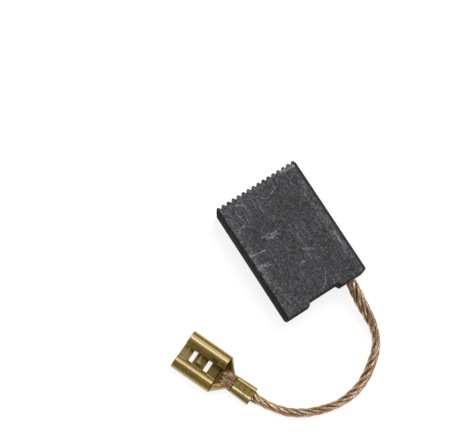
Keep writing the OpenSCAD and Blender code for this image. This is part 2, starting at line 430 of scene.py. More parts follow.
def makeRope(s):
    rng = np.random.default_rng(s["seed"])
    line, at = ropeLine(s)
    tangent = np.gradient(line, axis=0)
    tangent /= np.linalg.norm(tangent, axis=1)[:, None]
    side = np.cross(tangent, (0, 0, 1))
    side /= np.linalg.norm(side, axis=1)[:, None]
    up = np.cross(side, tangent)
    crimpAt = at[-1] - s["inCrimp"]
    radius = s["diameter"] / 2
    before, into = s["squeezeRun"]
    squeeze = softStep(at, crimpAt - before, crimpAt + into)
    slack = smoothCurve(s["slack"], np.minimum(at, crimpAt))
    wide = (slack * (1 - squeeze) + s["crimpWide"] * squeeze) * radius
    tall = ((1 + s["heightGain"] * (1 - slack)) * (1 - squeeze) + s["crimpTall"] * squeeze) * radius
    tall = np.minimum(tall, s["tallest"])
    phi = np.arange(s["around"]) * 2 * math.pi / s["around"]
    parts = []
    for k in range(s["strands"] + 1):
        core = k == s["strands"]
        share = s["coreShare"] if core else s["strandShare"]
        # slow waves of three lengths keep the strands from being alike
        waves = [(rng.uniform(-1, 1, 3) * s["drift"], length) for length in s["driftLengths"]]
        sway = sum(w[0] * 2 * np.sin(at / length + 120 * w[1]) for w, length in waves)
        swell = 1 + sum(w[1] * np.sin(at / length * 1.3 + w[2] * 60) for w, length in waves)
        rise = 1 + 0.5 * sum(w[2] * np.cos(at / length + w[0] * 40) for w, length in waves)
        angle = -2 * math.pi * at / s["layLength"] + 2 * math.pi * k / s["strands"] + sway
        lift = (0 if core else 1 - share) * rise
        centreA, centreB = np.cos(angle) * lift, np.sin(angle) * lift
        # each strand is a bundle of wires that turns the other way along it
        twist = 2 * math.pi * at / s["wireLay"]
        turned = phi[None, :] + angle[:, None]
        wires = 1 + s["wireDepth"] * np.cos(s["wires"] * (phi[None, :] + twist[:, None]))
        flat = 1 + s["flattening"] * np.cos(2 * phi[None, :] + math.pi)
        bundle = share * swell[:, None] * wires * flat
        a = centreA[:, None] + bundle * np.cos(turned)
        b = centreB[:, None] + bundle * np.sin(turned)
        ring = line[:, None, :] + (a * wide[:, None])[..., None] * side[:, None, :]
        ring = ring + (b * tall[:, None])[..., None] * up[:, None, :]
        ring = ring[:, ::-1, :]  # side, up and the run are left-handed, so the order is turned
        uvU = np.arange(s["around"] + 1) / s["around"] + k * 3
        parts.append(closedTube(ring, uvU, at))
    points, faces, uvs = joinParts(parts)
    return meshPiece("copperRope", points, faces, uvs)


strandEnds = {
    "start": 2.9,  # places along the receptacle: inside the crimp, and where the strands leave it
    "leave": 3.7,
    "startSpread": 0.75,  # how far apart the strands are there, as a share of their spread at the end
    "leaveSpread": 1.15,
    "startHeight": 0.95,
    "startRise": 0.2,
    "leaveHeight": (0.55, 0.5),  # a share of the end's height, and what is added to it
    # where each strand ends: along, across, up
    "strands": [(6.15, 1.02, 1.5), (6.25, 0.62, 1.75), (5.2, 0.0, 1.3), (6.3, -0.62, 1.8), (6.15, -1.05, 1.4),
                (6.0, 0.3, 0.9), (6.05, -0.35, 0.9), (5.1, 1.2, 1.9), (4.9, -1.15, 1.8)],
    "middleStrand": 2,
    "wires": 24,
    "wireRadius": 0.085,
    "bundle": 0.4,  # a strand's radius in the crimp and at its end
    "loose": 0.42,
    "flatness": 0.72,  # a bundle's height as a share of its width
    "reach": (0.72, 1.06),  # the shortest and longest wire as a share of the strand
    "outerLoss": 0.06,  # how much shorter the outer wires are
    "uneven": (0.8, 1.2),  # the thinnest and thickest wire
    "twist": 1.5,
    "stray": 0.2,  # how far the wires bend off their strand
    "strayUp": 0.6,  # how much of that is left in height
    "strayPower": 2.2,
    "wildEvery": 9,  # every so many wires one bends twice as far
    "lowest": 0.47,  # the wires stay between the strip and these heights, in the crimp and past it
    "highest": (1.42, 2.25),
    "sides": 6,
    "rings": 9,
    "wayOut": [(2.9, 0.9), (4.3, 0.93), (5.2, 1.6), (6.6, 2.9)],  # half width between the walls
    "overWall": (1.62, 0.3),  # from this height on the wires may lie over a wall, this much further out
    "seed": 11,
}


def makeStrandEnds(s):
    rng = np.random.default_rng(s["seed"])
    parts = []
    phi = np.arange(s["sides"]) * 2 * math.pi / s["sides"]
    t = np.linspace(0, 1, s["rings"])
    share, added = s["leaveHeight"]
    crimpTop, openTop = s["highest"]
    wallTop, further = s["overWall"]
    for k, end in enumerate(s["strands"]):
        # the strand's middle line is a curve from the crimp over its mouth to the strand's end
        angle = 2 * math.pi * k / (len(s["strands"]) - 1)
        out = 0 if k == s["middleStrand"] else 1
        rise = s["startRise"] * out * math.sin(angle)
        first = (s["start"], s["startSpread"] * out * end[1], s["startHeight"] + rise)
        mouth = (s["leave"], s["leaveSpread"] * end[1], share * end[2] + added)
        middle = np.outer((1 - t) ** 2, first) + np.outer(2 * t * (1 - t), mouth) + np.outer(t**2, end)
        for j in range(s["wires"]):
            r, a = math.sqrt(rng.uniform(0, 1)), rng.uniform(0, 2 * math.pi)
            bendA, bendB = rng.normal(0, s["stray"], 2) * (2.0 if j % s["wildEvery"] == 0 else 1.0)
            reach = rng.uniform(*s["reach"]) - s["outerLoss"] * r * r
            radius = s["bundle"] * (1 - t) + s["loose"] * t
            turn = a + s["twist"] * t
            bend = t ** s["strayPower"]
            centre = middle.copy()
            centre[:, 0] = s["start"] + (middle[:, 0] - s["start"]) * reach
            centre[:, 1] += r * radius * np.cos(turn) + bendA * bend
            centre[:, 2] += s["flatness"] * r * radius * np.sin(turn) + bendB * bend * s["strayUp"]
            inside = 1 - softStep(centre[:, 0], s["leave"] - 0.3, s["leave"] + 0.4)
            centre[:, 2] = np.clip(centre[:, 2], s["lowest"], crimpTop * inside + openTop * (1 - inside))
            over = softStep(centre[:, 2], wallTop - 0.15, wallTop)
            room = smoothCurve(s["wayOut"], centre[:, 0]) + further * over
            centre[:, 1] = np.clip(centre[:, 1], -room, room)
            thick = s["wireRadius"] * rng.uniform(*s["uneven"])
            ring = centre[:, None, :] + np.zeros((s["rings"], s["sides"], 3))
            ring[..., 1] += thick * np.cos(phi)
            ring[..., 2] += thick * np.sin(phi)
            uvU = np.arange(s["sides"] + 1) / s["sides"] + j * 0.37
            parts.append(closedTube(ring, uvU, centre[:, 0]))
    points, faces, uvs = joinParts(parts)
    return meshPiece("strandEnds", fromReceptacle(points), faces, uvs)


ropePiece = makeRope(rope)
print("rope laid")
tuftPiece = makeStrandEnds(strandEnds)
print("strand ends fanned out")


receptacle = {
    "strip": 0.4,
    "length": 14.4,
    "wingEnd": 3.75,
    "socketStart": 6.8,
    # half of the outer width at each distance from the wire end
    "outline": [(0, 1.66), (0.45, 1.65), (1.4, 1.63), (2, 1.6), (3.4, 1.54), (4.3, 1.48), (4.65, 1.58),
                (5.4, 2.28), (6.4, 3.26), (6.8, 3.6), (7.1, 3.65), (14.4, 3.65)],
    # height of the wall's top, in the middle of the strip
    "wall": [(0, 1.45), (3.6, 1.45), (4.2, 1.3), (5.4, 1.3), (6.2, 1.45), (6.8, 1.68), (14.4, 1.68)],
    "bend": [(0, 0.7), (4.2, 0.7), (5.2, 0.9), (6.2, 1.15), (6.8, 1.1), (14.4, 1.1)],
    "skew": 0.28,  # how much nearer the wire one side of the socket starts than the other
    "rollOuter": (1.15, 1.35),  # width of the two rolls, from the outer side to the top
    "rollInner": (1.05, 1.09),  # and from the top to the inner side
    "rollTall": 1.1,
    "lipTurn": 15,
    "slit": 0.06,
    # how tightly and how far (degrees) the waist's walls lean in
    "neckCurl": [(0, 0.5), (4.4, 0.5), (5.2, 0.72), (6.0, 0.95), (6.8, 1.1), (14.4, 1.1)],
    "neckTurn": [(0, 20), (4.3, 20), (4.8, 45), (5.25, 100), (6.2, 112), (6.8, 100), (14.4, 100)],
    "neckShare": 0.45,
    "wingFolds": (0.5, 0.72),  # shares of a wing: up over its ridge, down the slope, flat in the channel
    "seam": 0.006,  # half the gap between the wings' edges
    "crimpTop": 2.0,
    "channelMiddle": -0.2,
    "channelHalf": 0.5,
    "channelFloor": 1.945,
    "ridgeRun": (0.3, 0.46),  # from the channel's edges to the ridges' tops
    "marks": (0.75, 1.75, 2.75),
    "markWidth": 0.07,
    "markDepth": 0.03,
    "panel": (6.9, 13.5, 1.92),  # start, end and half width
    "panelSlope": 0.22,  # how wide the slope round the panel is
    "panelRise": 0.2,
    "dimple": (10.6, 0.35, 0.75),  # place along, place across and radius
    "dimpleFlat": 0.3,  # the share of its radius that is flat
    "dimpleRise": 0.15,
    "windows": (12.08, 9.12),
    "windowWidth": 0.75,
    "windowLength": 5.7,
    "mouthStep": 0.12,  # how far the floor reaches past the rolls
    "mouthRun": 0.6,  # it begins this far from the mouth, and over these shares of the fold
    "mouthFold": (0.55, 0.75),
    "skewRun": (4.6, 6.6, 6.8, 9.5),  # the skew grows between the first two places and ends by the last
    "skewFold": (0.3, 0.9),
    "rows": (52, 32, 72),  # along the crimp, the waist and the socket
    "columns": (41, 37),  # from the middle to the wall's top, and past it
    "edgeRound": 0.05,
}


def wingLine(s, u, a, h, side, share):
    # one wing of the crimp: up, over its ridge and down into the pressed channel
    slope = np.where(side < 0, *s["ridgeRun"])
    ridge = s["channelMiddle"] * side + s["channelHalf"] + slope
    rise, reach = s["crimpTop"] - h, a - ridge
    r = np.minimum(rise, reach)
    overAt, downAt = s["wingFolds"]
    over = np.clip(share / overAt, 0, 1)
    down = np.clip((share - overAt) / (downAt - overAt), 0, 1)
    flat = np.clip((share - downAt) / (1 - downAt), 0, 1)
    run = over * (rise + reach + (math.pi / 2 - 2) * r)
    turn = np.clip((run - rise + r) / r, 0, math.pi / 2)
    up = np.minimum(run, rise - r) + r * np.sin(turn)
    inward = r * (1 - np.cos(turn)) + np.clip(run - rise + r - r * math.pi / 2, 0, None)
    v = a - inward - slope * down - (s["channelHalf"] - s["seam"]) * flat
    w = h + up - down**2 * (3 - 2 * down) * (s["crimpTop"] - s["channelFloor"])
    marks = sum(np.exp(-(((u - m) / s["markWidth"]) ** 2)) for m in s["marks"])
    return v, w - s["markDepth"] * marks * softStep(down, 0.7, 1)


def foldStrip(s, u, t):
    # bends the flat strip: t is 0 on the middle line, 1 at the wall's top and 2 at the edge of a wing or roll
    half = s["strip"] / 2
    a = smoothCurve(s["outline"], u) - half
    h = smoothCurve(s["wall"], u)
    r = np.minimum(smoothCurve(s["bend"], u), h - half - 0.01)
    flat, bend, wall = a - r, r * math.pi / 2, h - half - r
    side = np.where(t < 0, -1, 1)
    run = np.minimum(abs(t), 1) * (flat + bend + wall)
    turn = np.clip((run - flat) / r, 0, math.pi / 2)
    rise = np.clip(run - flat - bend, 0, None)
    v = np.minimum(run, flat) + r * np.sin(turn)
    w = half + r * (1 - np.cos(turn)) + rise
    # past the wall's top: a wing of the crimp or a roll of the socket
    extra = np.clip(abs(t) - 1, 0, 1)
    rollTurn = extra * (math.pi + math.radians(s["lipTurn"]))
    outer = np.where(t < 0, s["rollOuter"][1], s["rollOuter"][0])
    inner = np.where(t < 0, s["rollInner"][1], s["rollInner"][0])
    bent = np.cos(rollTurn)
    rollV = a - outer * (1 - np.maximum(bent, 0)) + inner * np.minimum(bent, 0)
    rollW = h + s["rollTall"] * np.sin(rollTurn)
    # between the crimp and the socket the walls lean in a little at their tops
    curl, curlTurn = smoothCurve(s["neckCurl"], u), np.radians(smoothCurve(s["neckTurn"], u)) * extra
    curlTurn = curlTurn * np.where(t < 0, s["neckShare"], 1)
    neckV, neckW = a - curl * (1 - np.cos(curlTurn)), h + curl * np.sin(curlTurn)
    wingV, wingW = wingLine(s, u, a, h, side, extra)
    past, crimp, neck = extra > 0, u < s["wingEnd"] + 0.01, u < s["socketStart"] - 0.01
    v = np.where(past, np.where(crimp, wingV, np.where(neck, neckV, rollV)), v)
    w = np.where(past, np.where(crimp, wingW, np.where(neck, neckW, rollW)), w)
    # the raised panel and the dimple are pressed into the floor
    start, end, wide = s["panel"]
    slope = s["panelSlope"]
    lift = softStep(u, start, start + slope) * (1 - softStep(u, end - slope, end))
    lift = lift * (1 - softStep(v, wide - slope, wide)) * s["panelRise"]
    along, across, radius = s["dimple"]
    far = np.hypot(u - along, v * side - across)
    lift = lift + s["dimpleRise"] * (1 - softStep(far, radius * s["dimpleFlat"], radius))
    w = w + np.where((abs(t) < 1) & (v < a - r + 0.3), lift, 0)
    # the rolls stop short of the floor's edge at the mouth, and one side of the socket starts nearer the wire
    mouth = softStep(abs(t), *s["mouthFold"]) * softStep(u, s["length"] - s["mouthRun"], s["length"])
    grow, full, fall, gone = s["skewRun"]
    skew = (t < 0) * softStep(-t, *s["skewFold"]) * softStep(u, grow, full) * (1 - softStep(u, fall, gone))
    return np.stack([u - s["mouthStep"] * mouth - s["skew"] * skew, v * side, w], -1)


def makeReceptacle(s):
    # lines of the flat strip, with one on each side of a cut
    ends = ((0, s["wingEnd"]), (s["wingEnd"] + s["slit"], s["socketStart"] - s["slit"]),
            (s["socketStart"], s["length"]))
    along = np.concatenate([np.linspace(*run, count) for run, count in zip(ends, s["rows"])])
    floorCount, edgeCount = s["columns"]
    half = np.concatenate([np.linspace(0, 1, floorCount), np.linspace(1, 2, edgeCount)[1:]])
    across = np.concatenate([-half[:0:-1], half])
    deselectAll()
    bpy.ops.mesh.primitive_grid_add(x_subdivisions=len(along) - 1, y_subdivisions=len(across) - 1, size=1)
    piece = startPiece("brassReceptacle")
    n = len(along)
    count = len(piece.data.vertices)
    i, j = np.arange(count) % n, np.arange(count) // n
    u, t = along[i], across[j]
    layer = piece.data.uv_layers.active or piece.data.uv_layers.new()
    layer.name = "strip"
    loops = np.zeros(len(piece.data.loops), int)
    piece.data.loops.foreach_get("vertex_index", loops)
    layer.data.foreach_set("uv", np.stack([u[loops], t[loops] * 4], -1).ravel())
    folded = foldStrip(s, u, t)
    piece.data.vertices.foreach_set("co", (folded * mm).ravel())
    # the wings and rolls are cut free of the waist: the faces between them go
    middleU = [np.mean(u[list(f.vertices)]) for f in piece.data.polygons]
    middleT = [np.mean(np.abs(t[list(f.vertices)])) for f in piece.data.polygons]
    select(piece)
    bpy.ops.object.mode_set(mode="EDIT")
    bpy.ops.mesh.select_mode(type="FACE")
    bpy.ops.mesh.select_all(action="DESELECT")
    bpy.ops.object.mode_set(mode="OBJECT")
    for f, mu, mt in zip(piece.data.polygons, middleU, middleT):
        f.select = mt > 1 and (0 < mu - s["wingEnd"] < s["slit"] or 0 < s["socketStart"] - mu < s["slit"])
    bpy.ops.object.mode_set(mode="EDIT")
    bpy.ops.mesh.delete(type="FACE")
    bpy.ops.object.mode_set(mode="OBJECT")
    thick = piece.modifiers.new("strip", "SOLIDIFY")
    thick.thickness = s["strip"] * mm
    thick.offset = 0
    thick.use_even_offset = True
    applyAll(piece)
    r = s["windowWidth"] / 2
    for place in s["windows"]:
        cutter = addRod("windowCutter", (place, 0, 0), r, 2, sides=28)
        for way in (-1, 1):
            pick(cutter, "VERT", lambda c: c.y * way > 0.001)
            bpy.ops.transform.translate(value=(0, way * (s["windowLength"] / 2 - r) * mm, 0))
        bpy.ops.object.mode_set(mode="OBJECT")
        cutAway(piece, cutter)
    softenEdges(piece, s["edgeRound"], segments=2, angle=50)
    co = np.zeros(len(piece.data.vertices) * 3)
    piece.data.vertices.foreach_get("co", co)
    placed = fromReceptacle(co.reshape(-1, 3) / mm) * mm
    piece.data.vertices.foreach_set("co", placed.ravel())
    piece.data.update()
    smoothShade(piece, 40)
    return piece


receptaclePiece = makeReceptacle(receptacle)
print("receptacle folded")


block = {
    "width": 16.0,
    "length": 22.2,
    "thickness": 6.3,
    "edgeBevel": 0.6,
    "cornerRound": 0.5,
    "ridges": 16,
    "ridgeDepth": 0.45,
    "ridgeFlat": 0.3,  # a ridge's flat top as a share of the pitch
    "grooveFloor": 0.08,  # a groove's floor as a share of its mouth
    "seatWidth": 6.4,
    "seatSlope": 0.4,
    "seatDepth": 0.65,
    "seatShift": 0.2,
    "holeInset": 3.0,
    "holeDiameter": 2.6,
    "holeDepth": 8.0,
    "edgeRound": 0.09,
    "endRound": 0.25,  # upper and lower edges of the connection end and the seat
}


def makeBlock(s):
    width, length, height = s["width"], s["length"], s["thickness"]
    face = -width / 2 * mm
    piece = addBox("graphiteBlock", (0, 0, height / 2), (width, length, height))
    # the two upright corners at the connection end
    pick(piece, "EDGE", lambda m, d: abs(d.z) > 1 and m.y > 0)
    bpy.ops.mesh.bevel(offset=s["cornerRound"] * mm, segments=5, affect="EDGES")
    # the long edges are cut off at 45 degrees
    cut = s["edgeBevel"] / 2
    for sideX in (-1, 1):
        for sideZ in (-1, 1):
            bpy.ops.mesh.select_all(action="SELECT")
            corner = (sideX * (width / 2 - cut) * mm, 0, (height / 2 + sideZ * (height / 2 - cut)) * mm)
            bpy.ops.mesh.bisect(plane_co=corner, plane_no=(sideX, 0, sideZ), use_fill=True, clear_outer=True)
    bpy.ops.object.mode_set(mode="OBJECT")
    # one groove between ridges is modelled, and the others are copies of it
    pitch = width / s["ridges"]
    halfGroove = (1 - s["ridgeFlat"]) / 2 * pitch
    groove = addBox("groove", (-width / 2, -length / 2, height / 2),
                    (2 * halfGroove, 2 * s["ridgeDepth"], 2 * height))
    pick(groove, "VERT", lambda c: c.y > -length / 2)
    bpy.ops.transform.resize(value=(s["grooveFloor"], 1, 1), center_override=(face, 0, 0))
    bpy.ops.object.mode_set(mode="OBJECT")
    # the flank goes on past the contact face at the same slope
    for v in groove.data.vertices:
        if v.co.y < -length / 2 * mm:
            v.co.x = face + (v.co.x - face) * (2 - s["grooveFloor"])
    copies = [groove]
    for k in range(1, s["ridges"] + 1):
        copy = groove.copy()
        copy.data = groove.data.copy()
        for v in copy.data.vertices:
            v.co.x += k * pitch * mm
        bpy.context.scene.collection.objects.link(copy)
        copies.append(copy)
    deselectAll()
    for copy in copies:
        copy.select_set(True)
    bpy.context.view_layer.objects.active = groove
    bpy.ops.object.join()
    cutAway(piece, groove)
    # the spring seat
    seat = addBox("seatCutter", (s["seatShift"], length / 2, height / 2),
                  (s["seatWidth"], 2 * s["seatDepth"], 2 * height))
    for way in (-1, 1):
        share = (s["seatWidth"] + 2 * way * s["seatSlope"]) / s["seatWidth"]
        pick(seat, "VERT", lambda c: (c.y - length / 2) * way > 0)
        bpy.ops.transform.resize(value=(share, 1, 1), center_override=(s["seatShift"] * mm, 0, 0))
    bpy.ops.object.mode_set(mode="OBJECT")
    cutAway(piece, seat)

    def endEdge(m, d):
        # an upper or lower edge of the connection end or of the seat
        near = m.y > length / 2 - s["seatDepth"] - 0.1 and abs(m.x) < width / 2 - s["edgeBevel"]
        return near and abs(m.z - height / 2) > height / 2 - 0.02 and abs(d.z) < 0.01

    pick(piece, "EDGE", endEdge)
    bpy.ops.mesh.bevel(offset=s["endRound"] * mm, segments=4, affect="EDGES")
    bpy.ops.object.mode_set(mode="OBJECT")
    # the blind hole for the rope
    depth = s["holeDepth"] + 1
    middle = (-width / 2 + s["holeInset"], length / 2 + 1 - depth / 2, height / 2)
    cutAway(piece, addRod("holeCutter", middle, s["holeDiameter"] / 2, depth, sides=48, turn=math.pi / 2))
    softenEdges(piece, s["edgeRound"], segments=3, angle=28)
    smoothShade(piece, 35)
    return piece


blockPiece = makeBlock(block)
print("block cut")


tamping = {
    "inset": 3.0,
    "diameter": 2.56,
    "recess": 0.3,
    "depth": 3.0,
    "rings": (0.12, 0.13, 0.13, 0.3, 0.3),  # widths of the rings on its face, from the rim inwards
    "collar": 0.95,  # it is heaped up against the rope, highest this far from the rope's middle
    "collarWidth": 0.3,
    "collarRise": 0.14,
    "grain": 0.05,
    "seed": 3,
}


def makeTamping(s):
    x, y, z = -block["width"] / 2 + s["inset"], block["length"] / 2 - s["recess"], block["thickness"] / 2
    piece = addRod("tampingCompound", (x, y - s["depth"] / 2, z), s["diameter"] / 2, s["depth"], sides=48,
                   turn=-math.pi / 2)
    pick(piece, "FACE", lambda c, n: n.y > 0.9)
    for width in s["rings"]:
        bpy.ops.mesh.inset(thickness=width * mm)
    bpy.ops.object.mode_set(mode="OBJECT")
    rng = np.random.default_rng(s["seed"])
    for v in piece.data.vertices:
        far = math.hypot(v.co.x / mm - x, v.co.z / mm - z)
        if v.co.y / mm > y - 0.01 and far < s["diameter"] / 2 - 0.05:
            rise = s["collarRise"] * max(0, 1 - abs(far - s["collar"]) / s["collarWidth"])
            v.co.y += (rise + rng.uniform(-1, 1) * s["grain"]) * mm
    smoothShade(piece, 60)
    return piece


tampingPiece = makeTamping(tamping)
print("tamping compound packed")


graphiteLook = {
    "clean": rgb(0.052, 0.052, 0.0515),
    # the lighter grey of the wide faces, partly rubbed and partly a painted sheen, also used for light specks
    "sheenAndRub": rgb(0.098, 0.098, 0.101),
    "pore": rgb(0.016, 0.016, 0.0155),
    "shoulder": rgb(0.055, 0.055, 0.054),
    "dust": rgb(0.5, 0.5, 0.51),
    "sheen": rgb(0.5, 0.5, 0.5),
    "roughness": 0.55,
    # fine scratches: their direction, their fineness and how rare they are
    "scratches": [(0.5, 2100, 0.6), (-0.35, 2500, 0.6), (1.35, 1900, 0.6), (2.2, 2300, 0.6),
                  (1.0, 1600, 0.62)],
    "upperFace": (6.15, 6.4),
    # scuffs on the upper face: ends of the stroke, its half width (mm), how strong it is
    "scuffs": [
        ((0.7, -2.6), (3.8, -2.6), 0.14, 0.8),
        ((1.6, -2.4), (2.5, -1.9), 0.34, 0.75),
        ((1.9, -1.3), (2.6, -2.9), 0.12, 0.9),
        ((1.2, -1.9), (3.2, -2.2), 0.1, 0.8),
        ((5.4, 1.5), (7.2, 1.2), 0.45, 0.6),
        ((4.4, -0.6), (7.2, -1.1), 0.16, 0.6),
        ((0.3, 10.2), (-2.2, 7.5), 0.13, 0.5),
        ((-2.4, 5.25), (-2.6, 5.4), 0.16, 0.7),
        ((0.1, 4.4), (0.6, 4.1), 0.15, 0.7),
        ((-2.3, 3.4), (-0.8, 2.5), 0.3, 0.4),
        ((-2.6, -8.6), (-0.4, -7.9), 0.11, 0.6),
        ((-0.4, -7.9), (0.8, -9.1), 0.1, 0.5),
        ((3.7, -9.1), (4.6, -9.8), 0.18, 0.6),
        ((4.9, -6.4), (6.6, -5.7), 0.14, 0.5),
        ((4.9, -6.4), (5.0, -7.8), 0.12, 0.4),
        ((-7.3, -10.2), (-4.9, -10.5), 0.35, 0.6),
        ((-6.9, 5.4), (-7.0, 3.1), 0.22, 0.6),
    ],
}


def strokeMarks(m, x, y, height, strokes):
    # 1 on straight strokes and 0 away from them, all in mm
    marks = None
    for start, end, width, low, high, strength in strokes:
        (ax, ay), (bx, by) = start, end
        length = math.hypot(bx - ax, by - ay)
        dx, dy = (bx - ax) / length, (by - ay) / length
        along = (x - ax) * dx + (y - ay) * dy
        across = abs((x - ax) * dy - (y - ay) * dx)
        past = abs(along - length / 2) - length / 2
        outside = abs(height - (low + high) / 2) - (high - low) / 2
        near = 1 - m.step(across.larger(past), width * 0.3, width)
        mark = near * (1 - m.step(outside, 0, 0.1)) * strength
        marks = mark if marks is None else marks.larger(mark)
    return marks


def fromWireEnd(place):
    # x and y in mm from the receptacle's wire end
    return place.part("x") * 1000 - receptaclePlace["x"], place.part("y") * 1000 - receptaclePlace["y"]


def graphiteFinish(s):
    m = Finish("graphite")
    place = m.place()
    x, y, height = (place.part(axis) for axis in "xyz")
    # the wide faces are lighter grey, partly rubbed and partly a painted sheen, and the bevels and sides stay
    # black
    half = block["thickness"] / 2
    fromMiddle = abs(height - half * mm)
    wideFace = m.step(fromMiddle, (half - 0.07) * mm, (half - 0.005) * mm)
    shoulder = m.step(fromMiddle, (half - 0.7) * mm, (half - 0.6) * mm)
    slow = m.noise(place, 110, 3, 0.6)
    cloud = m.noise(place, 300, 4, 0.65)
    grain = m.noise(place, 2300, 2, 0.75)
    fine = m.noise(place, 4400, 2, 0.8)
    speck = m.noise(place, 1700, 4, 0.8)
    torn = m.step(grain * 0.5 + fine * 0.5, 0.45, 0.57)
    # fine scratches in several directions, broken up by a slow noise
    scratches = None
    for turn, scale, cut in s["scratches"]:
        lines = m.noise(m.stretch(place, (1.0, 0.05, 1.0), (0, 0, turn)), scale, 2, 0.5)
        moved = m.stretch(place, (1, 1, 1), (0, 0, turn), (turn * 3 + 0.4, 0, 0))
        broken = m.step(m.noise(moved, 240, 3, 0.7), 0.47, 0.62)
        mark = m.step(lines, cut, cut + 0.07) * broken
        scratches = mark if scratches is None else scratches.larger(mark)
    # each scuff wanders a little and is torn by the grain
    wander = (m.noise(place, 700, 2) - 0.5) * 0.9
    scuffs = [(start, end, width, *s["upperFace"], strength) for start, end, width, strength in s["scuffs"]]
    scuffed = strokeMarks(m, x * 1000 + wander, y * 1000 - wander, height * 1000, scuffs)
    scuffed = scuffed * (0.12 + 0.88 * torn)
    # dust gathers along the long edges and near the contact face
    fromEdge = (block["width"] / 2 - block["edgeBevel"]) * mm - abs(x)
    band = 1 - m.step(fromEdge, 0.3 * mm, 1.6 * mm)
    foot = 1 - m.step(y + block["length"] / 2 * mm, 0.4 * mm, 2.6 * mm)
    patches = m.step(m.noise(place, 520, 4, 0.75), 0.4, 0.62)
    worn = (band * 0.5).larger(foot * 0.3) * (0.2 + 0.8 * patches) * (0.1 + 0.9 * torn)
    scratched = scratches * 0.36 * (0.25 + 0.75 * torn)
    dusty = worn * 0.8 + scuffed * 1.5 + scratched + m.step(speck, 0.53, 0.66) * 0.22
    glitter = m.step(fine, 0.5, 0.64) * 0.6 + m.step(speck, 0.55, 0.7) * 0.4 + m.step(cloud, 0.5, 0.7) * 0.3
    # painted sheen and rubbing: how much lighter the wide faces are, varying slowly
    sheenAndRub = 0.34 + 0.5 * m.step(cloud, 0.36, 0.64) + 0.32 * m.step(slow, 0.38, 0.62)
    powder = m.step(fine, 0.52, 0.62) * 0.75 + m.step(grain, 0.5, 0.66) * 0.25
    tone = m.mix(shoulder, s["clean"], s["shoulder"])
    tone = m.mix(glitter * (0.45 - 0.23 * shoulder), tone, s["sheenAndRub"])
    tone = m.mix(wideFace * sheenAndRub, tone, s["sheenAndRub"])
    tone = m.mix(powder * 0.24 * wideFace, tone, s["dust"])
    tone = m.mix(m.step(fine, 0.5, 0.36) * 0.7, tone, s["pore"])
    tone = m.mix((dusty * (0.16 + 0.84 * wideFace)).smaller(0.9), tone, s["dust"])
    rough = s["roughness"] + 0.12 * grain - 0.08 * scratches + (1 - wideFace) * 0.35
    relief = m.bump(grain * 0.5 + speck * 0.5 - scratches * 0.4, 0.02 * mm, 0.6)
    return m.finish({"Base Color": tone, "Roughness": rough, "Normal": relief, "Specular IOR Level": 0.16,
                     "Specular Tint": s["sheen"]})


copperLook = {
    "glint": rgb(1.0, 0.92, 0.74),
    "bright": rgb(0.93, 0.635, 0.38),
    "dull": rgb(0.54, 0.3, 0.145),
    "dark": rgb(0.17, 0.092, 0.043),
    "grime": 0.5,
    "metal": 1.0,
    "roughness": 0.27,
}

strandLook = {
    "glint": rgb(1.0, 0.82, 0.62),
    "bright": rgb(0.97, 0.68, 0.43),
    "dull": rgb(0.66, 0.4, 0.2),
    "dark": rgb(0.2, 0.105, 0.04),
    "grime": 0.6,
    "metal": 0.85,
    "roughness": 0.4,
}


def copperFinish(s, name, wires, ends=False):
    m = Finish(name)
    lay = m.unwrapped("lay")
    place = m.place()
    # streaks along the wires: the map runs around a strand in u and along it in v (mm)
    turns = lay.part("x") * wires
    along = lay.part("y")
    lean = wires / rope["wireLay"]
    thread = m.node("ShaderNodeCombineXYZ", {}, {0: turns + along * lean, 1: along * 0.35, 2: lay.part("x")})
    streak = m.noise(thread, 1.7, 3, 0.6)
    fine = m.noise(thread, 5.0, 2, 0.5)
    tarnish = m.noise(place, 600, 3, 0.6)
    tone = m.mix(m.step(streak, 0.4, 0.66), s["dull"], s["bright"])
    tone = m.mix(m.step(tarnish, 0.45, 0.75) * 0.5, tone, s["dull"])
    tone = m.mix(m.step(fine, 0.54, 0.36) * s["grime"], tone, s["dark"])
    if not ends:
        # the rope is cleaner near the crimp
        dx, dy = fromWireEnd(place)
        fresh = 1 - m.step(dx * dx + dy * dy, 4, 80)
        tone = m.mix(fresh * 0.55, tone, s["bright"])
    # painted glints: patches where the wires are lighter, with more coat and less roughness
    patch = m.step(m.noise(thread, 0.75, 2, 0.5), 0.47, 0.6) * m.step(streak, 0.42, 0.56)
    tone = m.mix(patch * 0.95, tone, s["glint"])
    if not ends:
        # painted shade in the grooves between the strands: u is 0 or 1 where a strand faces outwards
        outward = abs(lay.part("x") % 1 - 0.5) * 2
        grooveShade = 1 - m.step(outward, 0.6, 0.84)
        tone = m.mix(grooveShade * (0.36 - 0.2 * fresh), tone, s["dark"])
    rough = s["roughness"] + 0.14 * tarnish - 0.1 * patch
    relief = m.bump(fine * 0.6 + streak, 0.035 * mm, 0.7)
    return m.finish({"Base Color": tone, "Metallic": s["metal"], "Roughness": rough, "Normal": relief,
                     "Coat Weight": 0.1 + 0.5 * patch, "Coat Roughness": 0.12, "Coat IOR": 1.8})


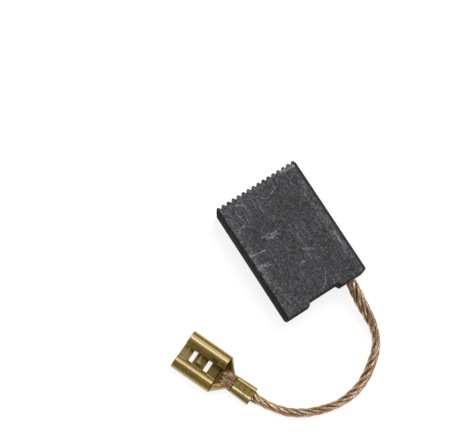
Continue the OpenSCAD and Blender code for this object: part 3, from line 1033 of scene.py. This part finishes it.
brassLook = {
    "bright": rgb(0.52, 0.34, 0.032),
    "olive": rgb(0.41, 0.265, 0.02),
    "shade": rgb(0.26, 0.165, 0.011),
    "stainAndShade": rgb(0.14, 0.075, 0.04),
    # the pale colour of the painted highlights and reflections
    "sheenAndRub": rgb(0.95, 0.83, 0.5),
    "roughness": 0.46,
    "filmRoughness": 0.07,
    "filmIndex": 1.95,
    # ends of the stroke (along, across), its half width (mm), its lowest and highest place, how strong it is
    # painted highlights and reflections: strokes that lighten the floor of the socket and the waist, the
    # crimp's channel and outer sides, and a line along one roll's inner edge
    "paintedHighlights": [
        ((10.97, -0.8), (10.97, 0.35), 0.22, 0, 1.2, 0.8),
        ((10.55, 0.4), (11.05, 0.4), 0.16, 0, 1.2, 0.8),
        ((12.9, 0.5), (13.6, 0.3), 1.2, 0, 1.2, 0.25),
        ((9.7, 0.1), (11.6, 0.1), 0.8, 0, 1.2, 0.1),
        ((7.2, 0.2), (8.4, 0.2), 1.1, 0, 1.2, 0.06),
        ((5.6, -1.8), (6.4, -2.3), 0.5, 0, 1.2, 0.12),
        ((0.3, -0.2), (3.5, -0.2), 0.75, 1.8, 2.3, 0.1),
        ((0.2, 1.45), (4.2, 1.38), 0.32, 0.7, 2.1, 0.16),
        ((0.2, -1.5), (4.2, -1.42), 0.32, 0.7, 2.1, 0.18),
        ((13.3, 0.8), (13.5, 0.5), 0.5, 0, 1.2, 0.3),
        ((7.0, 1.3), (8.35, 1.3), 0.17, 1.5, 2.9, 0.9),
        ((9.75, 1.25), (11.45, 1.25), 0.16, 1.5, 2.9, 0.6),
        ((12.75, 1.25), (13.8, 1.25), 0.17, 1.5, 2.9, 0.9),
    ],
    # stains, painted shade on the floor just past the strand ends, and darker lines along the crimp's cross
    # marks, its seam and a slash across one ridge
    "stainsAndShades": [
        ((8.3, -1.4), (8.9, -1.35), 0.5, 1.5, 2.9, 0.75),
        ((7.0, -1.6), (7.3, -1.6), 0.4, 1.5, 2.9, 0.6),
        ((6.2, -0.6), (6.6, 0.6), 0.3, 0, 1.2, 0.4),
        ((0.78, -0.8), (0.78, 0.4), 0.12, 1.6, 2.2, 0.9),
        ((1.78, -0.8), (1.74, 0.4), 0.12, 1.6, 2.2, 1.0),
        ((2.76, -0.8), (2.72, 0.35), 0.11, 1.6, 2.2, 0.85),
        ((0.1, -0.2), (3.7, -0.2), 0.07, 1.6, 2.2, 0.5),
        ((1.15, 0.8), (1.45, 0.45), 0.12, 1.6, 2.3, 0.7),
    ],
}


def brassFinish(s):
    m = Finish("brass")
    place = m.place()
    strip = m.unwrapped("strip")
    # a quarter of v is how far the strip has been folded: 0 in the floor's middle, 1 at the wall's top
    fold = abs(strip.part("y")) * 0.25
    channel = m.step(fold, 1.68, 1.76) * (1 - m.step(strip.part("x"), 3.7, 3.8))
    dull = 1 - m.step(fold, 0.5, 0.8)
    inner = 1 - m.step(strip.part("x"), 11.5, 13.6)
    cloud = m.noise(place, 330, 4, 0.6)
    grain = m.noise(place, 2600, 3, 0.65)
    # faint rolling lines along the strip
    rolled = m.noise(m.stretch(strip, (0.35, 14, 1)), 1.2, 3, 0.6)
    blotch = m.step(m.noise(place, 210, 3, 0.65), 0.6, 0.76)
    nicks = m.step(m.noise(m.stretch(place, (1, 0.15, 1), (0, 0, 1.2)), 1800, 2, 0.5), 0.68, 0.76)
    # places in the receptacle's own frame, in mm
    turn = math.radians(receptaclePlace["turn"])
    dx, dy = fromWireEnd(place)
    wander = (m.noise(place, 900, 2) - 0.5) * 0.35
    along = dx * math.cos(turn) + dy * math.sin(turn) + wander
    across = dy * math.cos(turn) - dx * math.sin(turn) + wander
    height = place.part("z") * 1000
    # stains and painted shade
    stainAndShadeMask = strokeMarks(m, along, across, height, s["stainsAndShades"])
    stainAndShadeMask = stainAndShadeMask * (0.5 + 0.5 * m.step(m.noise(place, 1200, 3, 0.7), 0.4, 0.6))
    # painted highlights and reflections, kept off the stains and painted shade
    paintedHighlight = strokeMarks(m, along, across, height, s["paintedHighlights"]) * (1 - stainAndShadeMask)
    tone = m.mix(m.step(cloud, 0.3, 0.7) * 0.7 + grain * 0.3, s["olive"], s["bright"])
    tone = m.mix(blotch * 0.4, tone, s["stainAndShade"])
    # painted shade: the floor darker, fading out toward the mouth, and the crimp's channel a little darker
    tone = m.mix(dull * inner * 0.65 + channel * 0.25, tone, s["shade"])
    tone = m.mix(m.step(grain, 0.52, 0.36) * 0.35, tone, s["shade"])
    tone = m.mix(stainAndShadeMask, tone, s["stainAndShade"])
    tone = m.mix(paintedHighlight, tone, s["sheenAndRub"])
    rough = s["roughness"] + 0.08 * cloud + 0.06 * rolled + 0.12 * blotch + 0.12 * dull + 0.05 * channel
    film = 0.95 - 0.5 * dull - 0.35 * channel - 0.35 * blotch - 0.35 * m.step(grain, 0.5, 0.75) - stainAndShadeMask
    relief = m.bump(rolled + nicks * 0.8 + grain * 0.9, 0.011 * mm, 0.7)
    return m.finish({"Base Color": tone, "Metallic": 1 - 0.85 * paintedHighlight, "Roughness": rough, "Normal": relief,
                     "Coat Weight": film.larger(0.08), "Coat Roughness": s["filmRoughness"],
                     "Coat IOR": s["filmIndex"]})


tampingLook = {
    "powder": rgb(0.1, 0.06, 0.04),
    "glint": rgb(0.34, 0.2, 0.12),
    "soot": rgb(0.015, 0.014, 0.013),
}


def tampingFinish(s):
    m = Finish("tampingPowder")
    place = m.place()
    grains = m.cells(place, 9000)
    clump = m.noise(place, 2500, 4, 0.7)
    tone = m.mix(m.step(clump, 0.35, 0.65), s["soot"], s["powder"])
    tone = m.mix(m.step(grains, 0.35, 0.1) * m.step(clump, 0.5, 0.7), tone, s["glint"])
    relief = m.bump(clump + grains * 0.5, 0.06 * mm, 1.0)
    return m.finish({"Base Color": tone, "Roughness": 0.7 + 0.2 * clump, "Metallic": 0.3, "Normal": relief})


def dress(piece, material):
    piece.data.materials.clear()
    piece.data.materials.append(material)


dress(blockPiece, graphiteFinish(graphiteLook))
dress(ropePiece, copperFinish(copperLook, "copperStrands", rope["wires"]))
dress(tuftPiece, copperFinish(strandLook, "copperEnds", 2, ends=True))
dress(receptaclePiece, brassFinish(brassLook))
dress(tampingPiece, tampingFinish(tampingLook))
print("materials made")


studio = {
    "floorSize": 3.0,
    "floor": rgb(0.5, 0.5, 0.5),
    "floorSpeck": rgb(0.53, 0.53, 0.53),
    "floorGlow": 0.8,
    "sky": rgb(0.95, 0.97, 1.0),
    "skyStrength": 0.2,
    "aim": (0.01, 0.008, 0),  # m, the point that the lamps face
    # each lamp: its name, where it stands (m), its size (m), the radiance of its face
    "lamps": [
        ("overhead", (-0.18, -0.125, 0.62), (0.2, 0.2), 4.8),
        ("panel", (-0.42, -0.18, 0.5), (0.5, 0.36), 1.8),
        ("left", (0.26, -0.56, 0.4), (0.4, 0.3), 1.6),
        ("right", (-0.2, 0.56, 0.4), (0.4, 0.3), 1.6),
    ],
}


def floorFinish(s):
    m = Finish("floor")
    # it glows white only where it is seen, so it lights nothing
    path = m.node("ShaderNodeLightPath", output=None)
    seen = Wire(m, path.outputs["Is Camera Ray"]) + Wire(m, path.outputs["Is Glossy Ray"])
    seen = seen + Wire(m, path.outputs["Is Transmission Ray"])
    grain = m.noise(m.place(), 40, 2)
    tone = m.mix(grain * 0.06, s["floor"], s["floorSpeck"])
    glow = m.mix(seen.smaller(1), rgb(0, 0, 0), rgb(1, 1, 1))
    return m.finish({"Base Color": tone, "Roughness": 0.9, "Specular IOR Level": 0.1,
                     "Emission Color": glow, "Emission Strength": s["floorGlow"]})


def makeStudio(s):
    deselectAll()
    bpy.ops.mesh.primitive_plane_add(size=s["floorSize"], location=(0, 0, 0))
    floor = startPiece("floor")
    dress(floor, floorFinish(s))
    world = bpy.data.worlds.new("studio")
    bpy.context.scene.world = world
    world.use_nodes = True
    background = world.node_tree.nodes["Background"]
    background.inputs["Color"].default_value = s["sky"]
    background.inputs["Strength"].default_value = s["skyStrength"]
    for name, place, size, radiance in s["lamps"]:
        data = bpy.data.lights.new(name, "AREA")
        data.shape = "RECTANGLE"
        data.size, data.size_y = size
        data.energy = radiance * math.pi * size[0] * size[1]
        lamp = bpy.data.objects.new(name, data)
        lamp.location = place
        toAim = Vector(s["aim"]) - Vector(place)
        lamp.rotation_euler = toAim.to_track_quat("-Z", "Y").to_euler()
        bpy.context.scene.collection.objects.link(lamp)
    bpy.context.scene.view_settings.view_transform = "Standard"


makeStudio(studio)
print("studio lit")


for piece, node, slot in (
    (blockPiece, "carbon_block", "graphite"),
    (tampingPiece, "tamping_plug", "tamping_compound"),
    (ropePiece, "pigtail", "copper"),
    (receptaclePiece, "terminal", "brass"),
    (tuftPiece, None, "copper"),
):
    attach(piece, "root")
    if node:
        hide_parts(node)

crimpEnd = fromReceptacle([(0, 0, rope["coreHeight"]), (rope["inCrimp"], 0, rope["coreHeight"])])
ropePath = [tuple(c * mm for c in p) for p in rope["route"]] + [tuple(p * mm) for p in crimpEnd]
